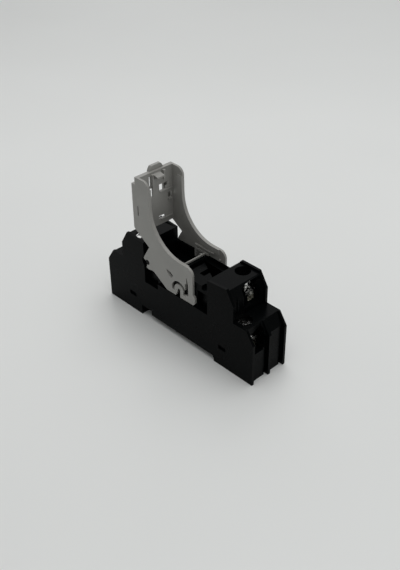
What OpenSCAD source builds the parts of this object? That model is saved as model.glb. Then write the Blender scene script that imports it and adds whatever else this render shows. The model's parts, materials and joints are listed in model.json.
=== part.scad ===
// Relay socket for a 35 mm top-hat rail: black insulating housing with five rising screw clamps and a
// pale retaining lever that holds, and levers out, a plug-in relay.
// Frame: millimetres, +X along the socket (relay contacts at +X), +Z up from the rail side.

/* [Housing] */
// Overall length of the housing
body_l = 70; // [68:0.5:76]
// Overall width of the housing
body_w = 15.5; // [15.5:0.1:18]
// Height of the far wall beside the upper terminals
tower_h = 31.2; // [31:0.1:34]
// Height of the lower terminal deck
deck_low = 20.1; // [19.6:0.1:20.6]
// Height of the roof over the upper terminals
deck_high = 30.5; // [30:0.1:30.8]
// Thickness of the two side walls
wall_t = 0.95; // [0.8:0.05:1.1]
// Distance from the middle to the outer face of each tower
tower_x = 26.5; // [26:0.1:27]
// How far the end panels lie inside the side walls
end_recess = 1.1; // [0.6:0.1:1.3]
// Thickness of the rib between the two lower terminals
rib_t = 1; // [0.6:0.1:1.2]

/* [Relay seat] */
// Length of the relay bay between the two towers
bay_l = 30.2; // [30:0.1:30.6]
// Height of the face that the relay stands on
seat_z = 26.4; // [26:0.1:26.6]
// Depth of the hollow under the relay's coil end
coil_well = 4.3; // [3:0.1:4.5]
// Width of the contact slots along the socket
slot_w = 2.1; // [1.8:0.1:2.2]
// Length of the contact slots across the socket
slot_l = 5.8; // [4:0.1:6]

/* [Terminals] */
// Distance from the middle to the upper terminal screws
high_x = 19.2; // [18.8:0.1:19.6]
// Distance from the middle to the lower terminal screws
low_x = 27.6; // [27.4:0.1:28]
// Distance from the side face in to the upper terminal screws
high_inset = 3.85; // [3.8:0.05:4]
// Distance from the side face in to the lower terminal screws
low_inset = 3.95; // [3.8:0.05:4.2]
// Radius of the screw heads
head_r = 2.4; // [2:0.05:2.45]
// Height of the screw heads
head_h = 1.9; // [1.5:0.1:2]
// Radius of the screw shanks
shank_r = 1.5; // [1.25:0.05:1.6]
// How far each screw lifts its pressure plate
clamp_lift = 2.5; // [1.5:0.1:2.5]
// Length of a clamp box along the socket
box_l = 5.9; // [5.2:0.1:6]
// Width of a clamp box
box_w = 4.4; // [4.2:0.1:5]
// Depth of the top of a clamp box below its deck
box_drop = 5.1; // [5:0.1:5.4]
// Thickness of the contact strips
strip_t = 0.6; // [0.5:0.05:0.7]

/* [Rail foot] */
// Width of the recess that takes the rail
rail_w = 35.7; // [35.5:0.1:36.2]
// Depth of the recess that takes the rail
rail_z = 2.1; // [1.9:0.1:2.3]
// How far the hooks reach over the rail's edges
hook_reach = 1.4; // [1:0.1:1.6]
// Height of the cover that closes the housing from below
cover_h = 4.6; // [4.4:0.1:4.7]

/* [Lever] */
// Height of the lever's top edge
lever_top = 53.95; // [53:0.05:56]
// Thickness of the lever's side plates
plate_t = 0.8; // [0.7:0.05:0.85]
// Radius of the pivot pins
pivot_r = 0.9; // [0.7:0.05:1]
// Radius of the concave edge of the side plates
sweep_r = 13.97; // [13.5:0.01:14.2]
// Radius of the snap pins under the lever
snap_r = 0.5; // [0.4:0.05:0.55]

/* [Fits] */
// Radial clearance of turning and sliding round fits
run_clear = 0.05; // [0.03:0.01:0.08]
// Clearance between a piece and the chamber that holds it
seat_clear = 0.15; // [0.1:0.05:0.25]

/* [Hidden] */
$fn = 48;
eps = 0.01;

body_black = [0.07, 0.08, 0.085];
cover_black = [0.1, 0.11, 0.115];
lever_grey = [0.66, 0.65, 0.62];
zinc = [0.72, 0.73, 0.74];
tin = [0.8, 0.78, 0.7];

// housing outline, from the driving sizes
half_l = body_l / 2;
half_w = body_w / 2;
core_w = half_w - wall_t;
end_x = half_l - end_recess;
end_chamfer_x = 3;
end_chamfer_z = 4.5;
tower_chamfer_x = 3.1;
tower_chamfer_z = 5.1;
panel_t = 1.2;
panel_slope_x = 2.2;
panel_slope_z = 4.3;
bay_x = bay_l / 2;
core_tower_x = tower_x - 1;
roof_edge_x = tower_x - 2.8;
roof_slope_z = 4.3;
core_z = cover_h + seat_clear / 3;

// side pockets for the lever's plates
pocket_z = 17.2;
pocket_deep_z = 15;
pocket_step_x = -8.6;
pivot_x = -13.3;
pivot_z = 23.8;
relief_r = 2.6;
snap_x = 2;
snap_z = 20.2;

// relay seat
block_x = -0.2;
well_x = -bay_x + 1.2;
well_z = seat_z - coil_well;
well_y = core_w - 0.8;
rim_cut_x = -5.85;
rim_cut_z = 23.2;
coil_x = -12.9;
coil_y = core_w - 3.05;
pole_x = [2.05, 7.35, 12.3];
pole_y = 0.4;

// clamps
box_h = 6;
box_side = 0.7;
box_back = 2.5;
box_front = box_l - box_back;
tongue_y = box_w / 2 - box_side - 0.2;
mouth_drop = 5.6;
mouth_wall = 0.8;
box_top_t = 1.2;
box_floor = 0.6;
press_t = 0.8;
thread_gap = 0.1;
neck_r = 0.7;
hole_r = head_r + 0.2;
high_y = half_w - high_inset;
low_y = half_w - low_inset;
shank_l = box_h - box_floor - strip_t - press_t + thread_gap - 0.2;

// contact strips
strip_z = core_z + 0.1;
strip_h = 3.6;
tine_gap = 0.35;
tine_l = 4;

// terminal records: side, screw x, screw y, deck, lift at rest, lane y, slot x, slot y, fork length,
// fork top
COIL_NEAR = [-1, -low_x, -low_y, deck_low, 2, -1.5, coil_x, -coil_y, 2.4, well_z - 1.6];
COIL_FAR = [-1, -low_x, low_y, deck_low, 1, 1.5, coil_x, coil_y, 2.4, well_z - 1.6];
LEFT_UPPER = [-1, -high_x, -high_y, deck_high, 2.4, 1 - core_w, pole_x[0], pole_y, tine_l, seat_z - 4];
RIGHT_UPPER = [1, high_x, high_y, deck_high, 0, core_w - 1.3, pole_x[2], pole_y, tine_l, seat_z - 4];
RIGHT_LOWER = [1, low_x, -low_y, deck_low, 1.9, -3.5, pole_x[1], pole_y, tine_l, seat_z - 4];
TERMINALS = [COIL_NEAR, COIL_FAR, LEFT_UPPER, RIGHT_UPPER, RIGHT_LOWER];

// rail foot
rail_x0 = -rail_w / 2 + 0.15;
rail_x1 = rail_w / 2 + 0.15;
latch_cut_x = rail_x0 + 5.1;
latch_cut_z = 3.9;
hook_t = 1;
cover_x = end_x - panel_t - 0.1;
cover_y = core_w - 0.1;
latch_y = 3.2;
latch_web_y = 2.2;
latch_z = 3.6;
latch_step_z = 2.3;
lug_x = [[20.25, 23.1], [-23.7, -20.65]];
lug_z = [6.55, 5.95];
lug_h = 1.3;
arm_t = 0.9;

// lever outline
plate_y = half_w - 0.05;
plate_in = plate_y - plate_t;
lever_back_x = -17.5;
lever_wall_x = -16;
marker_x = -19.15;
marker_z0 = 35.3;
wall_low = 33.7;
sweep_x = 2.92;
sweep_z = 44.86;
front_x = sweep_x - sweep_r - 0.05;
shoulder_z = sweep_z - sweep_r;
nose_x = 8.5;
nose_r = 2.6;
top_r = 2.65;
rim_w = 2;
rim_t = 0.4;
foot_z = 17.5;

// a box between two values on each axis
module span(x, y, z) {
    translate([min(x[0], x[1]), min(y[0], y[1]), z[0]])
        cube([abs(x[1] - x[0]), abs(y[1] - y[0]), z[1] - z[0]]);
}

// an X-Z outline given thickness from y0 to y1
module side_sheet(y0, y1) {
    translate([0, y1, 0])
        rotate([90, 0, 0])
            linear_extrude(y1 - y0)
                children();
}

// both side faces at once
module each_side() {
    for (s = [0, 1])
        mirror([0, s, 0])
            children();
}

function swap(p) = [for (i = [len(p) - 1 : -1 : 0]) [-p[i][0], p[i][1]]];

// outer wall outline: chamfered ends, tower, and the open pocket over the bay
module wall_outline(inner_top) {
    end_half = [[half_l, 0], [half_l, deck_low - end_chamfer_z], [half_l - end_chamfer_x, deck_low],
        [tower_x, deck_low], [tower_x, tower_h - tower_chamfer_z], [tower_x - tower_chamfer_x, tower_h]];
    difference() {
        polygon(concat(end_half,
            [[bay_x + 0.5, inner_top], [bay_x, inner_top - 0.5], [bay_x, pocket_z], [pocket_step_x, pocket_z],
                [pocket_step_x, pocket_deep_z], [-bay_x, pocket_deep_z], [-bay_x, deck_high]],
            swap(end_half)));
        translate([pivot_x, pivot_z])
            circle(r = relief_r);
        translate([rail_x0, -1])
            square([rail_w, rail_z + 1]);
        translate([rail_x0, -1])
            square([latch_cut_x - rail_x0, latch_cut_z + 1]);
        for (i = [0, 1])
            translate([lug_x[i][0] - seat_clear, lug_z[i]])
                square([lug_x[i][1] - lug_x[i][0] + 2 * seat_clear, lug_h + 2 * seat_clear]);
    }
}

// core outline between the walls, with an end panel down to the floor at each end
module core_outline() {
    end_half = [[end_x - panel_t, core_z], [end_x - panel_t, 0], [end_x, 0], [end_x, deck_low - panel_slope_z],
        [end_x - panel_slope_x, deck_low], [core_tower_x, deck_low], [core_tower_x, deck_high - roof_slope_z],
        [roof_edge_x, deck_high], [bay_x, deck_high], [bay_x, seat_z]];
    polygon(concat(end_half, swap(end_half)));
}

// rib between the two lower terminals, flush with the side walls' ends
module end_rib() {
    side_sheet(-0.25, rib_t - 0.25)
        for (s = [0, 1])
            mirror([s, 0])
                polygon([[core_tower_x, core_z], [end_x - panel_t, core_z], [end_x - panel_t, 0], [half_l, 0],
                    [half_l, deck_low - end_chamfer_z],
                    [half_l - end_chamfer_x, deck_low], [core_tower_x, deck_low]]);
}

// dark grooves beside the rib and beside the far wall
module end_grooves() {
    for (s = [0, 1], y = [-1.05, core_w - 0.8])
        mirror([s, 0, 0])
            span([end_x - 0.7, half_l + 1], [y, y + 0.8], [-1, deck_low - panel_slope_z]);
}

// screw hole with the driver's way down to it, clamp chamber, wire mouth and the notch below the mouth
module terminal_cut(t) {
    top = t[3] - box_drop;
    low = top - box_h;
    out = t[0] * (half_l + 1);
    mouth_z = t[3] - mouth_drop;
    mouth_x = t[0] * ((t[3] == deck_high ? roof_edge_x : end_x - panel_slope_x) - mouth_wall + 0.85);
    translate([t[1], t[2], low])
        cylinder(r = hole_r, h = tower_h);
    span([t[1] - t[0] * (box_back + strip_t + 0.5), t[1] + t[0] * (box_front + seat_clear)],
        [t[2] - box_w / 2 - seat_clear, t[2] + box_w / 2 + seat_clear], [low - 0.05, top + seat_clear]);
    span([mouth_x, out], [t[2] - box_w / 2 - 0.7, t[2] + box_w / 2 + 0.3], [mouth_z, tower_h + 1]);
    span([t[1], out], [t[2] - tongue_y - 0.6, t[2] + tongue_y + 0.6], [low + 1.8, mouth_z + eps]);
}

// contact strip of one terminal, grown by c and reaching down by d to leave its chamber
module strip_body(t, c, d) {
    tongue_z = t[3] - box_drop - box_h + box_floor;
    inner = t[1] - t[0] * (box_back + 0.2);
    riser = [inner - t[0] * strip_t - t[0] * c, inner + t[0] * c];
    lane = [t[5] - strip_t / 2 - c, t[5] + strip_t / 2 + c];
    low = strip_z - d;
    high = strip_z + strip_h + c;
    fork_x = tine_gap + strip_t + c;
    span([inner - t[0] * strip_t, t[1] + t[0] * (box_front - 0.4)], [t[2] - tongue_y, t[2] + tongue_y],
        [tongue_z - c / 3, tongue_z + strip_t]);
    span(riser, [t[2] - tongue_y - c, t[2] + tongue_y + c], [low, tongue_z + strip_t]);
    span(riser, [min(lane[0], t[2] - tongue_y - c), max(lane[1], t[2] + tongue_y + c)], [low, high]);
    span([riser[0], t[6]], lane, [low, high]);
    span([t[6] - fork_x, t[6] + fork_x],
        [min(lane[0], t[7] - t[8] / 2 - c), max(lane[1], t[7] + t[8] / 2 + c)], [low, high]);
}

// chamber for one contact strip and the slot over its fork
module strip_cut(t) {
    strip_body(t, seat_clear, 1);
    span([t[6] - slot_w / 2, t[6] + slot_w / 2], [t[7] - t[8] / 2 - seat_clear, t[7] + t[8] / 2 + seat_clear],
        [strip_z, seat_z - 1]);
}

// relay seat: contact slots, keyed groove, coil well with its cut-down rims
module seat_cuts() {
    for (x = pole_x)
        span([x - slot_w / 2, x + slot_w / 2], [pole_y - slot_l / 2, pole_y + slot_l / 2], [seat_z - 2, seat_z + 1]);
    span([1, bay_x - 1], [4, core_w - 0.4], [seat_z - 1.2, seat_z + 1]);
    span([well_x, block_x], [-well_y, well_y], [well_z, seat_z + 1]);
    for (s = [-1, 1]) {
        span([coil_x - slot_w / 2, coil_x + slot_w / 2], [s * coil_y - 1.7, s * coil_y + 1.7],
            [well_z - 2, well_z + 1]);
        span([rim_cut_x, block_x], [s * (well_y - 0.1), s * (core_w + 1)], [rim_cut_z, seat_z + 1]);
    }
}

// shallow windows in the core behind the lever's plates
module core_windows() {
    each_side() {
        span([9.8, bay_x - 0.8], [core_w - 1.4, core_w + wall_t], [pocket_z + 0.5, seat_z - 2.6]);
        span([11.8, bay_x + 0.4], [core_w - 1.8, core_w + wall_t / 2], [seat_z - 1.4, seat_z + 0.8]);
        span([-bay_x + 0.6, pocket_step_x - 0.6], [core_w - 0.9, core_w + wall_t], [pocket_deep_z + 0.8, pivot_z - 3]);
    }
}

// pins that the lever turns on and snaps over
module lever_pins() {
    each_side() {
        translate([pivot_x, core_w - 0.5, pivot_z])
            rotate([-90, 0, 0])
                cylinder(r = pivot_r, h = wall_t + 0.4);
        translate([snap_x, core_w - 0.5, snap_z])
            rotate([-90, 0, 0])
                cylinder(r = snap_r, h = wall_t + 0.3);
    }
}

module housing() {
    color(body_black) {
        difference() {
            union() {
                side_sheet(-core_w - eps, core_w + eps)
                    core_outline();
                side_sheet(-half_w, -core_w)
                    wall_outline(deck_high);
                side_sheet(core_w, half_w)
                    wall_outline(tower_h);
                end_rib();
            }
            for (t = TERMINALS) {
                terminal_cut(t);
                strip_cut(t);
            }
            seat_cuts();
            core_windows();
            end_grooves();
            span([-half_l - 1, -end_x + panel_t + eps], [-latch_y - 0.2, latch_y + 0.2], [-1, latch_z + 0.2]);
            each_side()
                for (i = [0, 1])
                    span([lug_x[i][0] - seat_clear, lug_x[i][1] + seat_clear],
                        [cover_y - arm_t - seat_clear, core_w + 2 * eps], [core_z - 1, lug_z[i] + lug_h + 2 * seat_clear]);
        }
        lever_pins();
        translate([1.5, 5, seat_z - 1.2 - eps])
            cylinder(r = 0.45, h = 1.4);
    }
}

// closes the housing from below, snaps into the wall windows and carries the rail hooks
module base_cover() {
    color(cover_black)
        difference() {
            union() {
                span([-cover_x, cover_x], [-cover_y, cover_y], [rail_z, cover_h]);
                span([rail_x1, cover_x], [-cover_y, cover_y], [0, cover_h]);
                span([-cover_x, rail_x0], [-cover_y, cover_y], [0, cover_h]);
                span([rail_x1 - hook_reach, rail_x1 + eps], [-cover_y, cover_y], [0, hook_t]);
                each_side()
                    for (i = [0, 1]) {
                        span(lug_x[i], [cover_y - arm_t, cover_y], [cover_h - eps, lug_z[i] + lug_h + seat_clear]);
                        span(lug_x[i], [cover_y - eps, core_w + 0.3],
                            [lug_z[i] + seat_clear, lug_z[i] + lug_h + seat_clear]);
                    }
            }
            span([-half_l - 1, latch_cut_x], [-latch_y - 0.2, latch_y + 0.2], [latch_step_z - 0.1, latch_z + 0.2]);
            span([-half_l - 1, rail_x0 + 1], [-latch_web_y - 0.2, latch_web_y + 0.2], [-1, latch_step_z]);
            span([rail_x0 - eps, latch_cut_x], [-half_w, half_w], [-1, latch_cut_z]);
            for (x = [20, 26])
                span([x, x + 4.5], [-cover_y + 1.5, cover_y - 1.5], [-1, cover_h - 1.4]);
        }
}

// sprung slider that hooks behind the rail's edge
module rail_latch() {
    color(cover_black)
        difference() {
            union() {
                span([-half_l + 0.4, latch_cut_x - 0.6], [-latch_y, latch_y], [latch_step_z, latch_z]);
                span([rail_x0 - 3.8, rail_x0 - 0.1], [-latch_web_y, latch_web_y], [0.1, latch_step_z + eps]);
                span([rail_x0 - 0.1 - eps, rail_x0 + hook_reach], [-latch_web_y, latch_web_y], [0.1, hook_t]);
                span([-half_l + 0.4, -half_l + 3.4], [-latch_web_y, latch_web_y], [0.8, latch_step_z + eps]);
            }
            span([-half_l + 1.4, -half_l + 2.4], [-1.4, 1.4], [-1, latch_z - 0.7]);
            for (s = [-1, 1])
                span([-half_l + 5.5, rail_x0 - 5.5], [s * (latch_y - 1), s * (latch_y - 1.5)], [0, latch_z + 1]);
        }
}

// side plate outline of the lever
module plate_outline() {
    difference() {
        union() {
            polygon([[lever_back_x, lever_top], [front_x - top_r + 0.1, lever_top],
                [front_x, lever_top - top_r], [front_x, sweep_z], [sweep_x, sweep_z], [sweep_x, shoulder_z],
                [nose_x - nose_r, shoulder_z], [nose_x, shoulder_z - nose_r],
                [nose_x, 21.2], [9.1, 20.9], [9.45, 20.3], [9.3, 18.4], [8.9, 17.8], [8.6, foot_z],
                [-3.9, foot_z], [-10, 21.4], [-11, 21.6], [-13, 21.2], [-13.9, 21.5], [pivot_x, pivot_z],
                [-15.1, 24.5], [-15.1, 25.1], [-12.05, 30.2], [-18.9, 34.75], [marker_x, marker_z0],
                [marker_x, lever_top - 2.65], [lever_back_x, lever_top - 2.65]]);
            translate([front_x - top_r, lever_top - top_r])
                circle(r = top_r);
            translate([nose_x - nose_r, shoulder_z - nose_r])
                circle(r = nose_r);
        }
        translate([sweep_x, sweep_z])
            circle(r = sweep_r, $fn = 96);
        translate([pivot_x, pivot_z])
            circle(r = pivot_r + run_clear);
        hook_cut();
        translate([-16.9, 40.3])
            square([0.5, 3.5]);
    }
}

// snap hook low on each side plate: entry slot for the pin, and the gap that lets the hook spring
module hook_cut() {
    slot_x = snap_x + snap_r + run_clear;
    polygon([[slot_x, foot_z - 1], [slot_x, snap_z], [snap_x - snap_r - run_clear, snap_z],
        [snap_x - snap_r - 1.1, foot_z], [snap_x - snap_r - 1.3, foot_z - 1]]);
    translate([snap_x, snap_z])
        circle(r = snap_r + run_clear);
    difference() {
        translate([snap_x - 0.1, snap_z - 0.1])
            circle(r = 3.3);
        translate([snap_x - 0.1, snap_z])
            circle(r = 2.1);
        polygon([[snap_x - 4, snap_z - 0.9], [snap_x + 4, snap_z - 0.9], [snap_x + 4, foot_z - 2],
            [snap_x - 4, foot_z - 2]]);
    }
    translate([4.9, 19.8])
        square([1.45, 4.4]);
    polygon([[5.45, 26.5], [5.85, 26.5], [6.35, 24.1], [5.6, 24.1]]);
}

// raised rim inside each plate along the concave edge
module plate_rim() {
    intersection() {
        difference() {
            translate([sweep_x, sweep_z])
                circle(r = sweep_r + rim_w, $fn = 96);
            translate([sweep_x, sweep_z])
                circle(r = sweep_r, $fn = 96);
        }
        polygon([[front_x - rim_w, sweep_z], [sweep_x, sweep_z], [sweep_x, shoulder_z - rim_w],
            [front_x - rim_w, shoulder_z - rim_w]]);
    }
    translate([front_x - rim_w, sweep_z - eps])
        square([rim_w, lever_top - top_r - sweep_z]);
    translate([sweep_x - eps, shoulder_z - rim_w])
        square([nose_x - nose_r - sweep_x, rim_w]);
}

// rails and post inside each plate that carry the ejector bar
module plate_brackets() {
    rail_y = [plate_in - 0.65, plate_in + eps];
    span([-5.2, 3.8], rail_y, [28.3, 28.7]);
    span([-5.2, 1.4], rail_y, [26.6, 27.4]);
    span([-5.2, -4.6], rail_y, [23.8, 28.7]);
    translate([6.15, plate_in + eps, 27])
        rotate([90, 0, 0])
            cylinder(r = 0.4, h = 0.4);
}

// windows moulded through the lever's back wall, placed down from its top edge
module back_windows() {
    wall = [lever_back_x - 0.5, lever_wall_x + 0.6];
    top = lever_top;
    span(wall, [-3.1, -2.2], [top - 7.85, top - 5.55]);
    span(wall, [1.1, 3.4], [top - 7.85, top - 5.45]);
    span(wall, [3.4 - eps, 4.4], [top - 6.65, top - 5.45]);
    span(wall, [4.7, 5.8], [top - 11.35, top - 9.55]);
    span(wall, [-3, -2.6], [top - 4, top - 1.2]);
    span(wall, [0.5, 2.7], [wall_low + 2.7, wall_low + 3.2]);
}

// raised ribs, posts and the relay hook inside the back wall
module back_ribs() {
    face = lever_wall_x - eps;
    span([face, face + 0.45], [1.2, 6.4], [lever_top - 8.25, lever_top - 7.85]);
    span([face, face + 0.45], [1.2, 6.4], [wall_low + 1.8, wall_low + 2.2]);
    span([face, face + 0.5], [4.6, 5.9], [lever_top - 12.1, lever_top - 11.65]);
    span([face, face + 0.9], [-2.2, -1.6], [lever_top - 5.5, lever_top - 0.6]);
    span([face, face + 0.9], [2.6, 3.4], [lever_top - 3.6, lever_top - 0.5]);
    span([face, face + 0.7], [-1.6, 0.6], [lever_top - 4.6, lever_top - 2]);
    side_sheet(-1.4, 1.6)
        polygon([[lever_wall_x - 0.5, lever_top - 2.6], [-13.6, lever_top - 1.7], [-13.6, lever_top - 1.2],
            [lever_wall_x - 0.5, lever_top - 0.6]]);
}

// thumb tab on the top edge
module thumb_tab() {
    translate([lever_back_x - 0.5, 0.9, lever_top - 0.7])
        rotate([90, 0, 90])
            linear_extrude(1.1)
                difference() {
                    circle(r = 3);
                    translate([-4, -8])
                        square([8, 8]);
                    translate([-4, 2.3])
                        square([8, 2]);
                }
}

// holds the relay down, and lifts it out when its top is pulled back
module release_lever() {
    color(lever_grey) {
        each_side() {
            difference() {
                side_sheet(plate_in, plate_y)
                    plate_outline();
                side_sheet(plate_y - 0.45, half_w)
                    polygon([[-4, 25.7], [-3.3, 24.5], [-1.9, 23.4], [-1.2, 23.4], [-0.8, 24.5], [-1.8, 25.3]]);
            }
            side_sheet(plate_in - rim_t, plate_in + eps)
                plate_rim();
            plate_brackets();
            span([marker_x, lever_back_x + eps], [plate_in - 0.9, plate_in + eps], [marker_z0, lever_top - 2.65]);
            span([marker_x, marker_x + 0.8], [plate_in - 1.9, plate_in + eps], [marker_z0, lever_top - 2.65]);
        }
        difference() {
            span([lever_back_x, lever_wall_x], [-plate_in - eps, plate_in + eps], [wall_low, lever_top]);
            back_windows();
        }
        back_ribs();
        thumb_tab();
        span([-0.5, 0], [-plate_in - eps, plate_in + eps], [26.6, 27.2]);
    }
}

// terminal pieces
module terminal_screw(t) {
    seat = t[3] - box_drop + thread_gap + t[4];
    color(zinc)
        translate([t[1], t[2], seat])
            difference() {
                union() {
                    cylinder(r = head_r, h = head_h);
                    translate([0, 0, -shank_l])
                        cylinder(r = shank_r, h = shank_l);
                    translate([0, 0, -shank_l - press_t])
                        cylinder(r = neck_r, h = press_t);
                }
                for (a = [20, 110])
                    rotate([0, 0, a])
                        translate([-head_r, -0.35, head_h - 1])
                            cube([2 * head_r, 0.7, 2]);
            }
}

module pressure_plate(t) {
    seat = t[3] - box_drop + thread_gap + t[4] - shank_l;
    color(zinc)
        difference() {
            span([t[1] - t[0] * (box_back - 0.4), t[1] + t[0] * (box_back - 0.4)],
                [t[2] - box_w / 2 + box_side + 0.1, t[2] + box_w / 2 - box_side - 0.1], [seat - press_t, seat]);
            translate([t[1], t[2], seat - 2 * press_t])
                cylinder(r = neck_r + run_clear, h = 3 * press_t);
        }
}

module clamp_box(t) {
    top = t[3] - box_drop;
    color(zinc)
        difference() {
            span([t[1] - t[0] * box_back, t[1] + t[0] * box_front], [t[2] - box_w / 2, t[2] + box_w / 2],
                [top - box_h, top]);
            span([t[1] - box_l, t[1] + box_l], [t[2] - box_w / 2 + box_side, t[2] + box_w / 2 - box_side],
                [top - box_h + box_floor, top - box_top_t]);
            translate([t[1], t[2], top - 2 * box_top_t])
                cylinder(r = shank_r + run_clear, h = 3 * box_top_t);
        }
}

module contact(t) {
    fork_y = [t[7] - t[8] / 2, t[7] + t[8] / 2];
    color(tin) {
        difference() {
            strip_body(t, 0, 0);
            span([t[6] - tine_gap, t[6] + tine_gap], fork_y, [strip_z + 1.2, strip_z + 2 * strip_h]);
        }
        for (s = [-1, 1])
            span([t[6] + s * tine_gap, t[6] + s * (tine_gap + strip_t)], fork_y, [strip_z + 1, t[9]]);
    }
}

housing();
base_cover();
rail_latch();
release_lever();
terminal_screw(COIL_NEAR);  // terminal_screw_coil_near
terminal_screw(COIL_FAR);  // terminal_screw_coil_far
terminal_screw(LEFT_UPPER);  // terminal_screw_left_upper
terminal_screw(RIGHT_UPPER);  // terminal_screw_right_upper
terminal_screw(RIGHT_LOWER);  // terminal_screw_right_lower
pressure_plate(COIL_NEAR);  // pressure_plate_coil_near
pressure_plate(COIL_FAR);  // pressure_plate_coil_far
pressure_plate(LEFT_UPPER);  // pressure_plate_left_upper
pressure_plate(RIGHT_UPPER);  // pressure_plate_right_upper
pressure_plate(RIGHT_LOWER);  // pressure_plate_right_lower
clamp_box(COIL_NEAR);  // clamp_box_coil_near
clamp_box(COIL_FAR);  // clamp_box_coil_far
clamp_box(LEFT_UPPER);  // clamp_box_left_upper
clamp_box(RIGHT_UPPER);  // clamp_box_right_upper
clamp_box(RIGHT_LOWER);  // clamp_box_right_lower
contact(COIL_NEAR);  // contact_coil_near
contact(COIL_FAR);  // contact_coil_far
contact(LEFT_UPPER);  // contact_left_upper
contact(RIGHT_UPPER);  // contact_right_upper
contact(RIGHT_LOWER);  // contact_right_lower
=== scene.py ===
"""Relay socket: finishes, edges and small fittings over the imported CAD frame."""
import bpy
import bmesh
import json
import math
from mathutils import Matrix, Vector


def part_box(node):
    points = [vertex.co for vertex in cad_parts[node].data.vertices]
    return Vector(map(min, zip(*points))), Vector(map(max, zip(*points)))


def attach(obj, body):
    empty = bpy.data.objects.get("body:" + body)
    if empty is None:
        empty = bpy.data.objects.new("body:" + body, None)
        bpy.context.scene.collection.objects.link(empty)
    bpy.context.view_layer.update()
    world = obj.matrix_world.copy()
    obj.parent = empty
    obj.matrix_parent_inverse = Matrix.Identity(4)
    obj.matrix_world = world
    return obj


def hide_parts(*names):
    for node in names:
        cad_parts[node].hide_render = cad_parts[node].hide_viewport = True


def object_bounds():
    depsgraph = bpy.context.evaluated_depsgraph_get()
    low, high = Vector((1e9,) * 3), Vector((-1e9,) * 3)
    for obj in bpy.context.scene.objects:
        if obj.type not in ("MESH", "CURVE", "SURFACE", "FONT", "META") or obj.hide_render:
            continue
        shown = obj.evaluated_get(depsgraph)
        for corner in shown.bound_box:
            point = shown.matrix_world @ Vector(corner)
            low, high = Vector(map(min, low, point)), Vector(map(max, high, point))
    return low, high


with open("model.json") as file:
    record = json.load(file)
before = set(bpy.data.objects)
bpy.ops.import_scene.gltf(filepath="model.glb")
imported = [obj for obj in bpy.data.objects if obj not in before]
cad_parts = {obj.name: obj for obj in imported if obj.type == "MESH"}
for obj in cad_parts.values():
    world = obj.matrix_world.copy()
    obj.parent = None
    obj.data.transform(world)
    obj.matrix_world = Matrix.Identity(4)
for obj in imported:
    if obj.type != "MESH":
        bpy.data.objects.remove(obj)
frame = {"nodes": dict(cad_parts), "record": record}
CAD_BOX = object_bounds()
MM = 0.001

# Edge softness of the mouldings, the pressed metal and the tongues
HOUSING_EDGE = 0.16 * MM
LEVER_EDGE = 0.13 * MM
METAL_EDGE = 0.07 * MM
GUARD_EDGE = 0.1 * MM
EDGE_SEGMENTS = 2
SHARP_ANGLE = math.radians(24)
NORMAL_WEIGHT = 90
# Points closer than this become one point, and faces flatter than this one face
MERGE_DISTANCE = 0.002 * MM
FLAT_ANGLE = math.radians(0.6)

# Camera: angles in degrees, distance and target in metres, sensor and lens in millimetres
VIEW_AZIMUTH = 46.7
VIEW_ELEVATION = 35.14
VIEW_ROLL = -0.82
VIEW_DISTANCE = 0.2618
VIEW_TARGET = Vector((0.00444, -0.00061, 0.02013))
SENSOR_WIDTH = 36.0
LENS = 50.545263
# Share of the frame's long side by which the view's axis lies above the middle
VIEW_SHIFT = -0.000877193
CLIP_NEAR, CLIP_FAR = 0.01, 20.0


# ---------------------------------------------------------------- materials

# Part of the noise's range in use, and how rough all noise is
NOISE_LOW, NOISE_HIGH = 0.3, 0.7
NOISE_ROUGHNESS = 0.55
# Plastic: scales of flow marks and grain, then the ripple that follows the flow marks
FLOW_SCALE, GRAIN_SCALE = 90.0, 5200.0
RIPPLE_STRENGTH, RIPPLE_HEIGHT = 0.05, 0.4 * MM
GRAIN_HEIGHT = 0.04 * MM
# Metal: scales of cloudy plating and drawn marks, then the marks' stretch and relief
CLOUD_SCALE, MARK_SCALE = 900.0, 1400.0
MARK_STRETCH = (1.0, 14.0, 1.0)
MARK_STRENGTH, MARK_HEIGHT = 0.25, 0.03 * MM


def new_material(name):
    """A material with one shader: the material, its nodes and links, coordinates and shader."""
    mat = bpy.data.materials.new(name)
    mat.use_nodes = True
    nodes, links = mat.node_tree.nodes, mat.node_tree.links
    nodes.clear()
    coords = nodes.new("ShaderNodeTexCoord").outputs["Object"]
    out = nodes.new("ShaderNodeOutputMaterial")
    shader = nodes.new("ShaderNodeBsdfPrincipled")
    links.new(shader.outputs["BSDF"], out.inputs["Surface"])
    return mat, nodes, links, coords, shader


def noise(nodes, links, coords, scale, detail):
    tex = nodes.new("ShaderNodeTexNoise")
    tex.inputs["Scale"].default_value = scale
    tex.inputs["Detail"].default_value = detail
    tex.inputs["Roughness"].default_value = NOISE_ROUGHNESS
    links.new(coords, tex.inputs["Vector"])
    return tex.outputs["Fac"]


def map_range(nodes, links, value, low, high):
    """The noise value, spread from low to high."""
    node = nodes.new("ShaderNodeMapRange")
    node.inputs["From Min"].default_value = NOISE_LOW
    node.inputs["From Max"].default_value = NOISE_HIGH
    node.inputs["To Min"].default_value = low
    node.inputs["To Max"].default_value = high
    links.new(value, node.inputs["Value"])
    return node.outputs["Result"]


def ramp(nodes, links, value, dark, light):
    """The noise value as a colour between dark and light."""
    node = nodes.new("ShaderNodeValToRGB")
    stops = zip(node.color_ramp.elements, (NOISE_LOW, NOISE_HIGH), (dark, light))
    for stop, place, colour in stops:
        stop.position = place
        stop.color = (*colour, 1)
    links.new(value, node.inputs["Fac"])
    return node.outputs["Color"]


def bump(nodes, links, height, strength, distance, normal=None):
    node = nodes.new("ShaderNodeBump")
    node.inputs["Strength"].default_value = strength
    node.inputs["Distance"].default_value = distance
    links.new(height, node.inputs["Height"])
    if normal is not None:
        links.new(normal, node.inputs["Normal"])
    return node.outputs["Normal"]


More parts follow.
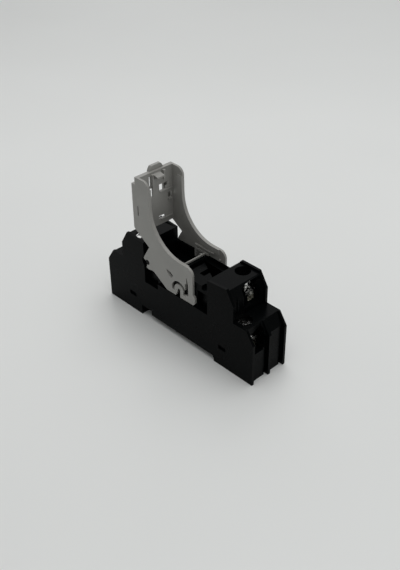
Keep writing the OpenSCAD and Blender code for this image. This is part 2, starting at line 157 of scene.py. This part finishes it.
def moulded_plastic(name, dark, light, rough, spec, grain=0.25):
    """Moulded plastic: faint flow marks, a soft ripple along them, and spark-eroded grain."""
    mat, nodes, links, coords, shader = new_material(name)
    shader.inputs["Specular IOR Level"].default_value = spec
    flow = noise(nodes, links, coords, FLOW_SCALE, 4.0)
    fine = noise(nodes, links, coords, GRAIN_SCALE, 2.0)
    links.new(ramp(nodes, links, flow, dark, light), shader.inputs["Base Color"])
    links.new(map_range(nodes, links, flow, *rough), shader.inputs["Roughness"])
    ripple = bump(nodes, links, flow, RIPPLE_STRENGTH, RIPPLE_HEIGHT)
    relief = bump(nodes, links, fine, grain, GRAIN_HEIGHT, ripple)
    links.new(relief, shader.inputs["Normal"])
    return mat


def plated_metal(name, dark, light, rough):
    """Plated metal: cloudy plating, and fine marks drawn along one way."""
    mat, nodes, links, coords, shader = new_material(name)
    shader.inputs["Metallic"].default_value = 1.0
    cloud = noise(nodes, links, coords, CLOUD_SCALE, 3.0)
    stretch = nodes.new("ShaderNodeMapping")
    stretch.inputs["Scale"].default_value = MARK_STRETCH
    links.new(coords, stretch.inputs["Vector"])
    marks = noise(nodes, links, stretch.outputs["Vector"], MARK_SCALE, 2.0)
    links.new(ramp(nodes, links, cloud, dark, light), shader.inputs["Base Color"])
    links.new(map_range(nodes, links, cloud, *rough), shader.inputs["Roughness"])
    relief = bump(nodes, links, marks, MARK_STRENGTH, MARK_HEIGHT)
    links.new(relief, shader.inputs["Normal"])
    return mat


BODY_BLACK = moulded_plastic("body_black", (0.0010, 0.0014, 0.0015), (0.0017, 0.0022, 0.0024),
                             (0.23, 0.30), 0.036)
COVER_BLACK = moulded_plastic("cover_black", (0.0014, 0.0018, 0.0020), (0.0022, 0.0027, 0.0030),
                              (0.28, 0.36), 0.045)
LEVER_GREY = moulded_plastic("lever_grey", (0.268, 0.264, 0.248), (0.305, 0.300, 0.282),
                             (0.30, 0.40), 0.50, 0.16)
SCREW_ZINC = plated_metal("screw_zinc", (0.50, 0.50, 0.49), (0.68, 0.68, 0.67), (0.10, 0.17))
BOX_ZINC = plated_metal("box_zinc", (0.58, 0.58, 0.56), (0.76, 0.76, 0.73), (0.16, 0.26))
TINNED = plated_metal("tinned_strip", (0.56, 0.53, 0.45), (0.74, 0.71, 0.62), (0.22, 0.36))

FINISH = {
    "body_plastic": BODY_BLACK,
    "cover_plastic": COVER_BLACK,
    "lever_plastic": LEVER_GREY,
    "screw_steel": SCREW_ZINC,
    "zinc_steel": BOX_ZINC,
    "tinned_brass": TINNED,
}
RECORD = frame["record"]
SLOT_OF = {part["node"]: part["material_slot"] for part in RECORD["subparts"]}
BODY_OF = {node: body for body, nodes in RECORD["behaviour"]["bodies"].items() for node in nodes}


# ---------------------------------------------------------------- cut-outs and tongues

# Wire mouths, each measured from its clamp box. MOUTH_BACK lies behind the box's face,
# MOUTH_SILL under its top, and a low mouth's roof drops towards the side wall.
MOUTH_BACK = 1.2 * MM
MOUTH_SILL = 1.3 * MM
MOUTH_UP_HIGH, MOUTH_UP_LOW = 4.4 * MM, 3.9 * MM
MOUTH_WALL_DROP = 2.2 * MM
SILL_STEP, SILL_DEPTH = 0.7 * MM, 2.1 * MM
# Inner face of the side wall, and how far each mouth reaches past or stops short of mid-width
WALL_SIDE = 6.4 * MM
HIGH_MID, LOW_MID = 2.0 * MM, 0.9 * MM
# A clamp box whose middle is above this height is an upper one
UPPER_LEVEL = 17 * MM
CUT_PAST_END = 2 * MM
CUT_OVERLAP = 0.01 * MM

# Back wall of the lever, in millimetres: the thin web's span, and where each cut runs in X
LEVER_TOP, WALL_LOW = 53.95, 33.7
WEB_BACK, WALL_FACE = (-17.7, -16.6), (-17.7, -15.97)
WEB_SPAN = (-6.85, 6.85, WALL_LOW - 0.2, LEVER_TOP - 1.2)
# Windows through the back wall, as (y0, y1, z0, z1)
WINDOWS = [
    (-3.1, -1.65, LEVER_TOP - 8.75, LEVER_TOP - 5.55),
    (1.1, 4.0, LEVER_TOP - 7.85, LEVER_TOP - 5.45),
    (3.9, 4.95, LEVER_TOP - 7.0, LEVER_TOP - 5.45),
    (4.7, 6.35, LEVER_TOP - 11.65, LEVER_TOP - 9.55),
    (-3.0, -2.25, LEVER_TOP - 4.85, LEVER_TOP - 1.45),
    (0.5, 3.25, WALL_LOW + 2.2, WALL_LOW + 3.3),
]
# Drop-shaped hole low in each side plate, as X-Z points in millimetres
DROP = [(-3.9, 25.4), (-3.3, 24.4), (-1.9, 23.3), (-1.2, 23.3),
        (-0.8, 24.4), (-1.8, 25.2), (-2.8, 25.6)]
PLATE_SPAN = (6.5, 8.0)

# Tongue on each clamp box: X out from the box's face and Z from its top, then its Y span
GUARD_PROFILE = [(-0.5 * MM, -0.2 * MM), (0, -0.2 * MM), (1.3 * MM, 2.1 * MM), (0.9 * MM, 2.2 * MM)]
GUARD_SPAN = (0.02 * MM, 0.8 * MM)


def prism(name, outline, axis, low, high):
    """A closed prism: the outline's points, in metres, stretched along an axis from low to high."""
    def place(point, depth):
        spot = list(point)
        spot.insert(axis, depth)
        return Vector(spot)
    bm = bmesh.new()
    rings = [[bm.verts.new(place(point, depth)) for point in outline] for depth in (low, high)]
    bm.faces.new(rings[0])
    bm.faces.new(list(reversed(rings[1])))
    for i in range(len(outline)):
        j = (i + 1) % len(outline)
        bm.faces.new((rings[0][j], rings[0][i], rings[1][i], rings[1][j]))
    bmesh.ops.recalc_face_normals(bm, faces=bm.faces)
    mesh = bpy.data.meshes.new(name)
    bm.to_mesh(mesh)
    bm.free()
    obj = bpy.data.objects.new(name, mesh)
    bpy.context.scene.collection.objects.link(obj)
    return obj


def block(y0, y1, z0, z1):
    return [(y0, z0), (y1, z0), (y1, z1), (y0, z1)]


def clamp_boxes():
    """Each clamp box: its node, its corners, its side of the socket, and X of its outer face."""
    for node in frame["nodes"]:
        if node.startswith("clamp_box"):
            low, high = (Vector(corner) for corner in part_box(node))
            side = 1 if low.x > 0 else -1
            yield node, low, high, side, high.x if side > 0 else low.x


def mouth_cutters():
    """Deep mouth and stepped sill in front of every clamp, and no wider than its half of the end."""
    cutters = []
    for _, low, high, side, front in clamp_boxes():
        across = 1 if low.y + high.y > 0 else -1
        upper = (low.z + high.z) / 2 > UPPER_LEVEL
        wall = across * WALL_SIDE
        mid = -across * HIGH_MID if upper else across * LOW_MID
        sill = high.z - MOUTH_SILL
        roof = high.z + (MOUTH_UP_HIGH if upper else MOUTH_UP_LOW)
        roof_wall = roof if upper else roof - MOUTH_WALL_DROP
        outer = side * (CAD_BOX[1][0] + CUT_PAST_END)
        mouth = [(wall, sill), (mid, sill), (mid, roof), (wall, roof_wall)]
        step = block(min(wall, mid), max(wall, mid), sill - SILL_DEPTH, sill + CUT_OVERLAP)
        mouth_span = sorted((front - side * MOUTH_BACK, outer))
        step_span = sorted((front + side * SILL_STEP, outer))
        cutters.append(prism("mouth", mouth, 0, *mouth_span))
        cutters.append(prism("sill", step, 0, *step_span))
    return cutters


def lever_cutters():
    """Windows and thin web of the lever's back wall, and the hole in each side plate."""
    def metres(values):
        return [value * MM for value in values]
    cutters = [prism("window", block(*metres(window)), 0, *metres(WALL_FACE)) for window in WINDOWS]
    cutters.append(prism("web", block(*metres(WEB_SPAN)), 0, *metres(WEB_BACK)))
    drop = [metres(point) for point in DROP]
    near, far = metres(PLATE_SPAN)
    cutters += [prism("drop", drop, 1, near, far), prism("drop", drop, 1, -far, -near)]
    return cutters


def carve(piece, cutters):
    """Cuts the cutters out of a piece's mesh for good, and deletes them."""
    for cutter in cutters:
        cut = piece.modifiers.new("cut", "BOOLEAN")
        cut.operation = "DIFFERENCE"
        cut.solver = "EXACT"
        cut.object = cutter
    bpy.context.view_layer.update()
    shape = piece.evaluated_get(bpy.context.evaluated_depsgraph_get())
    mesh = bpy.data.meshes.new_from_object(shape)
    piece.modifiers.clear()
    piece.data = mesh
    for cutter in cutters:
        bpy.data.objects.remove(cutter)
    for face in mesh.polygons:
        face.use_smooth = True
        face.material_index = 0


def make_guards():
    """Sheet tongue on each clamp box, which leans out over the wire's way in."""
    for node, low, high, side, front in clamp_boxes():
        profile = [(front + side * out, high.z + up) for out, up in GUARD_PROFILE]
        span = [low.y + reach for reach in GUARD_SPAN]
        guard = prism(node.replace("clamp_box", "guard"), profile, 1, *span)
        guard.data.materials.append(BOX_ZINC)
        rim = guard.modifiers.new("edge", "BEVEL")
        rim.width, rim.segments = GUARD_EDGE, EDGE_SEGMENTS
        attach(guard, BODY_OF[node])


# ---------------------------------------------------------------- softened copies of the CAD nodes

def soften(node, width, cutters=()):
    """Adds a copy of a CAD node with its edges rounded, which stands for the node."""
    mesh = frame["nodes"][node].data.copy()
    mesh.name = node + "_soft"
    bm = bmesh.new()
    bm.from_mesh(mesh)
    bmesh.ops.remove_doubles(bm, verts=bm.verts, dist=MERGE_DISTANCE)
    bmesh.ops.dissolve_limit(bm, angle_limit=FLAT_ANGLE, verts=bm.verts, edges=bm.edges,
                             use_dissolve_boundaries=False)
    bm.to_mesh(mesh)
    bm.free()
    piece = bpy.data.objects.new(node + "_soft", mesh)
    bpy.context.scene.collection.objects.link(piece)
    mesh.materials.clear()
    mesh.materials.append(FINISH[SLOT_OF[node]])
    for face in mesh.polygons:
        face.use_smooth = True
    if cutters:
        carve(piece, cutters)
    edge = piece.modifiers.new("edge", "BEVEL")
    edge.width = width
    edge.segments = EDGE_SEGMENTS
    edge.limit_method = "ANGLE"
    edge.angle_limit = SHARP_ANGLE
    edge.use_clamp_overlap = True
    edge.miter_outer = "MITER_ARC"
    level = piece.modifiers.new("level", "WEIGHTED_NORMAL")
    level.mode = "FACE_AREA_WITH_ANGLE"
    level.weight = NORMAL_WEIGHT
    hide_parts(node)
    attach(piece, BODY_OF[node])


def dress_nodes():
    for node, obj in frame["nodes"].items():
        obj.data.materials.clear()
        obj.data.materials.append(FINISH[SLOT_OF[node]])
    soften("housing", HOUSING_EDGE, mouth_cutters())
    soften("base_cover", HOUSING_EDGE)
    soften("rail_latch", HOUSING_EDGE)
    soften("release_lever", LEVER_EDGE, lever_cutters())
    for node in frame["nodes"]:
        if node.startswith(("terminal_screw", "clamp_box", "contact", "pressure_plate")):
            soften(node, METAL_EDGE)
    make_guards()


# ---------------------------------------------------------------- stage

FLOOR_SIZE = 4.0
FLOOR_DARK, FLOOR_LIGHT = (0.790, 0.800, 0.790), (0.815, 0.825, 0.815)
FLOOR_MOTTLE = 7.0
LIGHTS_AIM = Vector((0, 0, 0.02))


def make_floor():
    bpy.ops.mesh.primitive_plane_add(size=FLOOR_SIZE, location=(0, 0, 0))
    floor = bpy.context.object
    floor.name = "floor"
    mat, nodes, links, coords, shader = new_material("pale_floor")
    shader.inputs["Roughness"].default_value = 0.32
    shader.inputs["Specular IOR Level"].default_value = 0.3
    mottle = noise(nodes, links, coords, FLOOR_MOTTLE, 2.0)
    links.new(ramp(nodes, links, mottle, FLOOR_DARK, FLOOR_LIGHT), shader.inputs["Base Color"])
    floor.data.materials.append(mat)


def area_light(name, place, size, power):
    light = bpy.data.lights.new(name, "AREA")
    light.shape = "RECTANGLE"
    light.size, light.size_y = size
    light.energy = power
    obj = bpy.data.objects.new(name, light)
    bpy.context.scene.collection.objects.link(obj)
    obj.location = place
    obj.rotation_mode = "QUATERNION"
    obj.rotation_quaternion = (LIGHTS_AIM - Vector(place)).to_track_quat("-Z", "Y")


def make_lights():
    world = bpy.data.worlds.new("studio")
    bpy.context.scene.world = world
    world.use_nodes = True
    background = world.node_tree.nodes["Background"]
    background.inputs["Color"].default_value = (0.97, 0.985, 0.98, 1)
    background.inputs["Strength"].default_value = 0.3
    area_light("top_softbox", (0.05, 0.05, 0.62), (0.7, 0.7), 2.3)
    area_light("back_card", (-0.42, 0.40, 0.40), (0.7, 0.45), 0.8)
    area_light("end_card", (0.62, -0.12, 0.30), (0.5, 0.4), 0.2)


def make_camera():
    data = bpy.data.cameras.new("camera")
    camera = bpy.data.objects.new("camera", data)
    bpy.context.scene.collection.objects.link(camera)
    angles = (VIEW_AZIMUTH, VIEW_ELEVATION, VIEW_ROLL)
    azimuth, elevation, roll = (math.radians(angle) for angle in angles)
    level = math.cos(elevation)
    back = Vector((math.sin(azimuth) * level, -math.cos(azimuth) * level, math.sin(elevation)))
    right = Vector((math.cos(azimuth), math.sin(azimuth), 0))
    up = back.cross(right)
    turned_right = right * math.cos(roll) + up * math.sin(roll)
    turned_up = up * math.cos(roll) - right * math.sin(roll)
    place = VIEW_TARGET + back * VIEW_DISTANCE
    axes = Matrix((turned_right, turned_up, back)).transposed().to_4x4()
    camera.matrix_world = Matrix.Translation(place) @ axes
    data.sensor_fit = "AUTO"
    data.sensor_width = SENSOR_WIDTH
    data.lens = LENS
    data.shift_y = VIEW_SHIFT
    data.clip_start, data.clip_end = CLIP_NEAR, CLIP_FAR
    bpy.context.scene.camera = camera


def set_colours():
    view = bpy.context.scene.view_settings
    view.view_transform = "Standard"
    view.look = "None"
    view.exposure = 0.0


make_camera()
dress_nodes()
make_floor()
make_lights()
set_colours()
